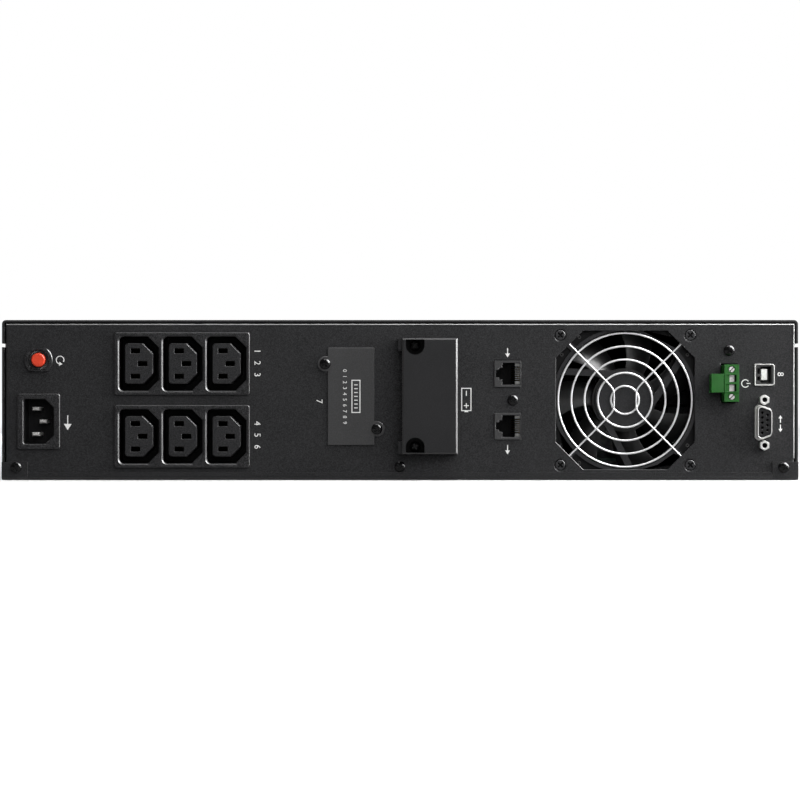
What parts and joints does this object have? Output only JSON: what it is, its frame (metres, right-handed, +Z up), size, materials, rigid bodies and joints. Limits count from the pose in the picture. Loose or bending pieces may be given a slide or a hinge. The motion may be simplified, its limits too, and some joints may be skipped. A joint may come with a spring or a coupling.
{
  "type": "rackmount uninterruptible power supply",
  "caption": "Black steel rackmount uninterruptible power supply: rear panel with mains inlet, shrouded outlets, caged fan, data ports and covers; rack ears and display bezel at the front.",
  "frame": {"origin": "centre of the base pan's underside", "axes": "+Z up, -Y out of the connector panel, +Y out of the display end, +X to the right when facing the connector panel"},
  "size_m": [0.4826, 0.4212, 0.088],
  "materials": {
    "case_paint": "satin black powder coat",
    "plate_paint": "satin dark grey powder coat",
    "black_screw": "black finish",
    "black_plastic": "fine grain",
    "signal_red": "smooth",
    "contact_brass": "plated",
    "zinc_sheet": "zinc plated",
    "guard_chrome": "bright plated wire",
    "bright_steel": "nickel plated",
    "plug_green": "smooth",
    "white_plastic": "smooth",
    "circuit_board": "solder resist",
    "sink_aluminium": "extruded",
    "can_sleeve": "shrink sleeve",
    "copper_coil": "enamelled wire",
    "dark_core": "ferrite and tape",
    "battery_case": "moulded",
    "display_glass": "display",
    "window_gloss": "tinted window",
    "button_grey": "fine grain"
  },
  "bodies": {
    "chassis": {"base_pan": "case_paint", "top_cover": "case_paint", "rear_panel": "case_paint", "front_plate": "case_paint", "rack_ear_left": "case_paint", "rack_ear_right": "case_paint", "slot_cover": "plate_paint", "ear_screws": "black_screw", "foot_screws": "black_screw", "side_screws": "black_screw", "slot_cover_screws": "black_screw", "port_cover_screws": "black_screw", "board_screws": "black_screw", "fan_screws": "black_screw", "reset_breaker": "black_plastic", "reset_collar": "black_plastic", "inlet_housing": "black_plastic", "outlet_block_upper": "black_plastic", "outlet_block_lower": "black_plastic", "port_cover": "black_plastic", "port_socket": "black_plastic", "data_jack_upper": "black_plastic", "data_jack_lower": "black_plastic", "fan_frame": "black_plastic", "serial_insert": "black_plastic", "front_bezel": "black_plastic", "inlet_pins": "contact_brass", "outlet_contacts_upper": "contact_brass", "outlet_contacts_lower": "contact_brass", "port_contacts": "contact_brass", "jack_contacts": "contact_brass", "board_posts": "contact_brass", "board_standoffs": "contact_brass", "card_cage": "zinc_sheet", "battery_tray": "zinc_sheet", "battery_strap": "zinc_sheet", "fan_guard": "guard_chrome", "usb_shell": "bright_steel", "serial_shell": "bright_steel", "serial_jackscrews": "bright_steel", "stop_header": "plug_green", "usb_insert": "white_plastic", "comm_board": "circuit_board", "surge_board": "circuit_board", "power_board": "circuit_board", "display_board": "circuit_board", "heatsinks": "sink_aluminium", "capacitors": "can_sleeve", "inductors": "copper_coil", "transformer": "dark_core", "batteries": "battery_case", "display_module": "display_glass", "display_window": "window_gloss"},
    "fan_rotor": {"fan_rotor": "black_plastic"},
    "reset_button": {"reset_button": "signal_red"},
    "stop_plug": {"stop_plug": "plug_green", "stop_plug_metal": "bright_steel"},
    "button_left": {"button_left": "button_grey"},
    "button_middle": {"button_middle": "button_grey"},
    "button_right": {"button_right": "button_grey"}
  },
  "joints": [
    {"name": "fan_spin", "type": "hinge", "parent": "chassis", "child": "fan_rotor", "pos_m": [0.124, -0.175, 0.044], "axis": [0, -1, 0], "continuous": true},
    {"name": "reset_travel", "type": "slide", "parent": "chassis", "child": "reset_button", "axis": [0, -1, 0], "range_m": [-0.001, 0.004]},
    {"name": "stop_plug_pull", "type": "slide", "parent": "chassis", "child": "stop_plug", "axis": [0, -1, 0], "range_m": [0, 0.012]},
    {"name": "button_left_press", "type": "slide", "parent": "chassis", "child": "button_left", "axis": [0, -1, 0], "range_m": [0, 0.001], "stiffness_N_per_m": 300, "springref_m": -0.002},
    {"name": "button_middle_press", "type": "slide", "parent": "chassis", "child": "button_middle", "axis": [0, -1, 0], "range_m": [0, 0.001], "stiffness_N_per_m": 300, "springref_m": -0.002},
    {"name": "button_right_press", "type": "slide", "parent": "chassis", "child": "button_right", "axis": [0, -1, 0], "range_m": [0, 0.001], "stiffness_N_per_m": 300, "springref_m": -0.002}
  ]
}
